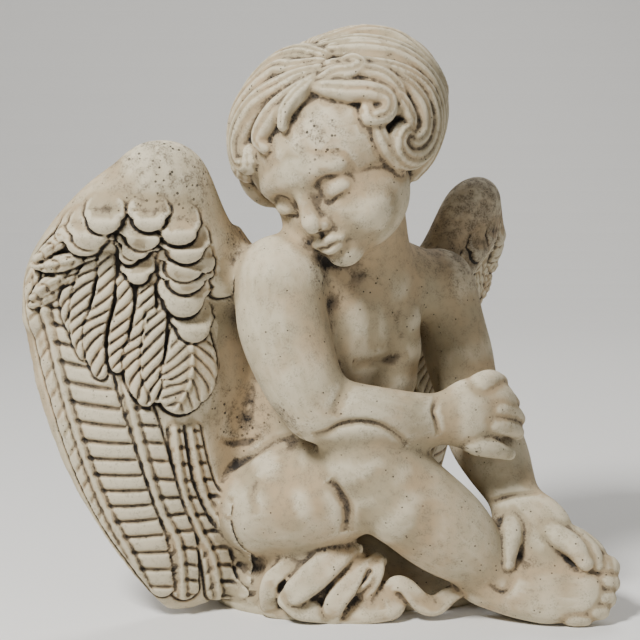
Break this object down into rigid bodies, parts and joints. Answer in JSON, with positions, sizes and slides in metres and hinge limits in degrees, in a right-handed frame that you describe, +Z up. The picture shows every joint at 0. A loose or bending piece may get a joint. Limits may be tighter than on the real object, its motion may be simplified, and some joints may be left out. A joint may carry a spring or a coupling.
{
  "type": "stone putto statue",
  "caption": "Seated winged putto statue in cast stone, arms folded towards a held foot, on a low mound of drapery with a flat underside.",
  "frame": {"origin": "a point on the flat underside beneath the seat of the figure", "axes": "+Z up through the head, -Y towards the show side, +X towards the viewer's right, where the held foot is"},
  "size_m": [0.4104, 0.2599, 0.4009],
  "materials": {
    "cast_stone": "weathered cast stone, dull, dark grime in the hollows of the carving"
  },
  "bodies": {
    "root": {"putto": "cast_stone"}
  },
  "joints": []
}
